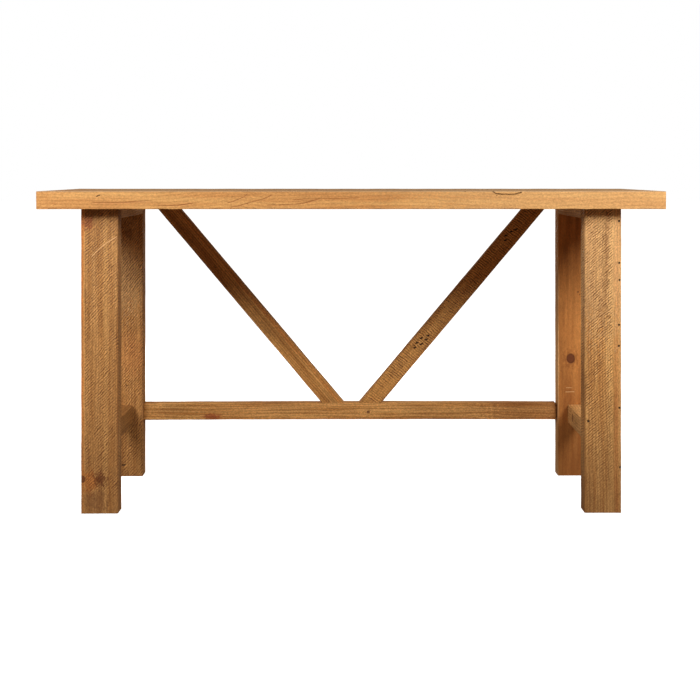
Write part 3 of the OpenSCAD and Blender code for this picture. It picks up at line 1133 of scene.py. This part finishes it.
# %% Building the legs
for number, (node, story) in enumerate(LEGS.items()):
    lie = Lie(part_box(node), Z, X, Y)
    leg = timber(node, lie, marks=story["marks"], step=(5.0, 3.5, 4.0), seed=31 + number)
    leg.data.materials.append(pine(node + "_pine", lie, **story["finish"]))

# %% [markdown]
# ## The rails
# Short rails tie each front leg to its back leg, low down and under the top; the long stretcher
# ties the back legs. All are drawn with their tongues, which run into the legs. The stretcher's
# right shoulder has opened a little, as a shoulder does when the timber shrinks.

# %% Stories of the rails and the stretcher
BROWN_PINE = dict(light=srgb(166, 116, 62), middle=srgb(134, 88, 42), dark=srgb(78, 46, 20))
PALE_PINE = dict(light=srgb(216, 164, 102), middle=srgb(178, 128, 72), dark=srgb(96, 60, 30))
# Paler than the other pine: painted light on the battens, which sit in the top's shade
UNDER_PINE_PAINTED_LIGHT = dict(light=srgb(240, 200, 146), middle=srgb(206, 160, 104), dark=srgb(120, 78, 42))
WARM_PINE = dict(light=srgb(226, 168, 98), middle=srgb(182, 122, 62), dark=srgb(102, 60, 28))
RAIL_SAW = dict(angle=70, pitch=5.0, amount=0.6)
BATTEN_SAW = dict(angle=60, pitch=5.5, amount=0.7)
RAIL_STORIES = {
    "side_rail_left": dict(pith=(-50.0, -40.0), saw=RAIL_SAW, **BROWN_PINE),
    "side_rail_right": dict(pith=(-30.0, -60.0), saw=RAIL_SAW,
                            knots=[dict(along=85, across=2, radius=9, squash=1.4)], **PALE_PINE),
    "top_batten_left": dict(pith=(20.0, -60.0), saw=BATTEN_SAW, **UNDER_PINE_PAINTED_LIGHT),
    "top_batten_right": dict(pith=(35.0, -70.0), saw=BATTEN_SAW, **UNDER_PINE_PAINTED_LIGHT),
    "stretcher": dict(pith=(-60.0, 10.0), ring=6.0, ring_show=0.6, streak=0.9, fibre_show=0.6,
                      stripes=[(1, 2.5, 0.6, HONEY), (-10, 2, 0.5, HONEY), (11, 2, 0.5, HONEY)],
                      stains=[blotch(-376, -14, 10, 0.4, 0.7, srgb(146, 62, 36)),
                              blotch(490, 0, 80, 0.6, 0.45, srgb(132, 76, 40))],
                      knots=[dict(along=48, across=-1, radius=3.0)], **WARM_PINE),
}

# %% Building the rails and the stretcher
SHOULDER_GAP = 3.0
for number, (node, rail) in enumerate(RAILS.items()):
    opened = SHOULDER_GAP if node == "stretcher" else 0.0
    piece = timber(node, rail["lie"], tongue=rail["tongue"], short_end=opened,
                   step=(6.0, 4.0, 4.0), seed=51 + number)
    piece.data.materials.append(pine(node + "_pine", rail["lie"], seed=31.0 + number * 5,
                                     **RAIL_STORIES[node]))

# %% [markdown]
# ## The braces
# Each brace is a straight board whose ends are both cut level, so its outline is a slanted box.
# Its lattice is built square and then sheared along the grain by the tangent of its lean. The
# lean follows from the box of the CAD brace and its width: the long sides are tangents to a
# circle of that width, one from each end.

# %% Lies of the braces
BRACE_WIDTH = 46.5
BRACE_PINE = dict(light=srgb(224, 166, 94), middle=srgb(178, 120, 60), dark=srgb(100, 58, 26))


def brace_lie(node, sign):
    """The lie of a brace that leans to the side of sign, worked out from its CAD box."""
    low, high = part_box(node)
    reach, rise = (high[0] - low[0]) / MM, (high[2] - low[2]) / MM
    lean = math.acos(BRACE_WIDTH / math.hypot(reach, rise)) - math.atan2(rise, reach)
    along = (sign * math.sin(lean), 0, math.cos(lean))
    across = (sign * math.cos(lean), 0, -math.sin(lean))
    half = [rise / math.cos(lean) / 2, BRACE_WIDTH / 2, (high[1] - low[1]) / MM / 2]
    print(node, "lean in degrees:", round(math.degrees(lean), 2))
    return Lie((low, high), along, across, Y, half=half, slant=math.tan(lean))


# %% Building the braces
HEAD_NAILS = [(257, -7), (266, -1), (243, -11), (227, -4)]
FOOT_NAILS = [(-112, 2), (-121, -7), (-126, 5), (-138, -8), (-142, 3), (-155, -4)]
BRACE_STORIES = {
    "left": dict(
        marks=[new_mark(FRONT_OF_FACE, [(130, 6)], 2.0, 1.2)],
        finish=dict(pith=(-70.0, 0.0), ring=6.0, ring_show=0.65, streak=0.9, fibre_show=0.5,
                    stripes=[(-16, 4, 0.4, ORANGE)])),
    "right": dict(
        marks=[new_mark(FRONT_OF_FACE, [place], 4.4, 2.2) for place in HEAD_NAILS]
        + [new_mark(FRONT_OF_FACE, [place], 4.6, 2.4) for place in FOOT_NAILS],
        finish=dict(pith=(90.0, -30.0), ring=5.0, ring_show=0.3,
                    saw=dict(angle=3, pitch=6.4, amount=1.0, length=24, bend=0.8))),
}
for number, (side, sign) in enumerate((("left", -1), ("right", 1))):
    node, story = "brace_" + side, BRACE_STORIES[side]
    lie = brace_lie(node, sign)
    brace = timber(node, lie, marks=story["marks"], step=(5.0, 4.0, 4.0), seed=71 + number)
    brace.data.materials.append(
        pine(node + "_pine", lie, seed=60.0 + 7 * number, **BRACE_PINE, **story["finish"]))

# %% [markdown]
# ## The hardware
# Bolts, inserts and screws are all but hidden. They keep their CAD shapes and get metal finishes
# with the faint cloudiness and fine specks of zinc plating and of brass; the dowels are beech.


# %% Metal and beech finishes
def metal(name, light, dark, roughness, grain):
    tree = Tree(name)
    place = tree.node("ShaderNodeTexCoord", output=3)
    cloud = tree.noise(place, 3.0, 0.6, scale=grain)
    speck = tree.noise(place, 2.0, 0.7, scale=grain * 9)
    colour = tree.mix(cloud.step(0.35, 0.65), light, dark)
    rough = roughness + (cloud - 0.5) * 0.25 + (speck - 0.5) * 0.12
    return tree.surface(colour, rough, speck * 0.00003, Metallic=1.0)


def beech_finish():
    tree = Tree("beech")
    fleck = tree.noise(tree.node("ShaderNodeTexCoord", output=3), 3.0, 0.6, scale=260)
    colour = tree.mix(fleck.step(0.4, 0.7), srgb(222, 184, 138), srgb(188, 144, 98))
    return tree.surface(colour, 0.6 + (fleck - 0.5) * 0.2, fleck * 0.0001)


# %% Finishes of the hardware
zinc = metal("zinc_plate", srgb(206, 208, 210), srgb(168, 172, 178), 0.34, 180)
brass = metal("turned_brass", srgb(222, 188, 110), srgb(180, 142, 74), 0.3, 220)
special = {"top_dowels": beech_finish(), "top_inserts": brass}
for node in HARDWARE:
    part = frame["nodes"][node]
    part.data.materials.clear()
    part.data.materials.append(special.get(node, zinc))
print("hardware nodes with a finish:", len(HARDWARE))

# %% [markdown]
# ## Floor, light and camera
# The floor is plain and pale, and grows to pure white away from the table, so that it has no
# horizon. Two wide soft lights stand in front of the table, one to each side and a little above
# it: the top's overhang shades the tops of the braces, and the back legs catch the light that
# comes in under the ends. A third, low and weak, stands behind and lights the underside and the
# back; reflections do not see it, so it leaves no glare. The floor throws no light back, so that
# the space under the top stays deep, and the little light that fills it is as warm as the wood
# that it comes from.

# %% Floor
FLOOR = 30.0
PAPER = srgb(246, 245, 243)
WHITE_FROM, WHITE_AT = 0.6, 1.8
floor_mesh = bpy.data.meshes.new("floor")
floor_mesh.from_pydata([(-FLOOR, -FLOOR, 0), (FLOOR, -FLOOR, 0), (FLOOR, FLOOR, 0),
                        (-FLOOR, FLOOR, 0)], [], [(0, 1, 2, 3)])
floor = bpy.data.objects.new("floor", floor_mesh)
bpy.context.scene.collection.objects.link(floor)
floor.visible_diffuse = False
floor.visible_glossy = False
tree = Tree("floor_paint")
place = tree.node("ShaderNodeTexCoord", output=3)
tooth = tree.noise(place, 3.0, 0.6, scale=2.0)
away = tree.node("ShaderNodeVectorMath", {"operation": "LENGTH"}, [place], output=1)
glow = 0.86 + 0.18 * away.step(WHITE_FROM, WHITE_AT)
tree.surface(PAPER, 0.9 + (tooth - 0.5) * 0.05, None,
             Emission_Color=grey(tree, glow), Emission_Strength=1.0)
floor_mesh.materials.append(tree.material)
print("floor is white from metres away:", WHITE_AT)


# %% Lights
def soft_light(name, place, target, size, power):
    """A soft rectangular light at place that looks at target; size is (width, height)."""
    lamp = bpy.data.lights.new(name, "AREA")
    lamp.shape = "RECTANGLE"
    lamp.size, lamp.size_y = size
    lamp.energy = power
    holder = bpy.data.objects.new(name, lamp)
    holder.location = place
    aim = Vector(target) - Vector(place)
    holder.rotation_euler = aim.to_track_quat("-Z", "Y").to_euler()
    holder.visible_camera = False
    bpy.context.scene.collection.objects.link(holder)
    print(name, "power:", power)
    return holder


BANK_SIZE, BACK_SIZE = (1.5, 0.45), (2.4, 0.4)
for name, side, power in (("left_bank", -1, 41), ("right_bank", 1, 44)):
    soft_light(name, (side * 1.5, -1.2, 1.7), (side * 0.25, 0.0, 0.6), BANK_SIZE, power)
back_bank = soft_light("back_bank", (0.0, 2.6, 0.5), (0.0, 0.0, 0.4), BACK_SIZE, 20)
back_bank.visible_glossy = False

# %% [markdown]
# The sky has three strengths. The camera sees white, reflections see a dim warm tone, and matt
# surfaces get only a warm fill, far weaker than the lamps.

# %% Sky
world = bpy.data.worlds.new("studio")
bpy.context.scene.world = world
world.use_nodes = True
sky_nodes, sky_links = world.node_tree.nodes, world.node_tree.links
sky_nodes.clear()
rays = sky_nodes.new("ShaderNodeLightPath")


def sky(colour, strength):
    background = sky_nodes.new("ShaderNodeBackground")
    background.inputs["Color"].default_value = colour
    background.inputs["Strength"].default_value = strength
    return background.outputs[0]


def choose(ray, otherwise, then):
    choice = sky_nodes.new("ShaderNodeMixShader")
    sky_links.new(rays.outputs[ray], choice.inputs[0])
    sky_links.new(otherwise, choice.inputs[1])
    sky_links.new(then, choice.inputs[2])
    return choice.outputs[0]


fill = sky((1.0, 0.66, 0.46, 1), 0.16)
sheen = sky((1.0, 0.8, 0.6, 1), 0.12)
backdrop = sky((1, 1, 1, 1), 1.0)
sky_out = sky_nodes.new("ShaderNodeOutputWorld")
seen = choose("Is Camera Ray", choose("Is Glossy Ray", fill, sheen), backdrop)
sky_links.new(seen, sky_out.inputs["Surface"])
bpy.context.scene.view_settings.view_transform = "Standard"
print("sky nodes:", len(sky_nodes))

# %% [markdown]
# The camera is level, a little above the top, and looks straight at the long side. Tilting it
# down would make the legs lean together, so its lens is shifted down instead.

# %% Camera
FOCAL_LENGTH, SENSOR = 59.88, 36.0
DOWNWARD_SHIFT = 0.2526
EYE = (-0.0202, -2.996, 0.8189)
TURN_TO_RIGHT = 0.0059
lens = bpy.data.cameras.new("camera")
lens.lens = FOCAL_LENGTH
lens.sensor_width = SENSOR
lens.shift_y = -DOWNWARD_SHIFT
camera = bpy.data.objects.new("camera", lens)
camera.location = EYE
camera.rotation_euler = (math.pi / 2, 0.0, -TURN_TO_RIGHT)
bpy.context.scene.collection.objects.link(camera)
bpy.context.scene.camera = camera
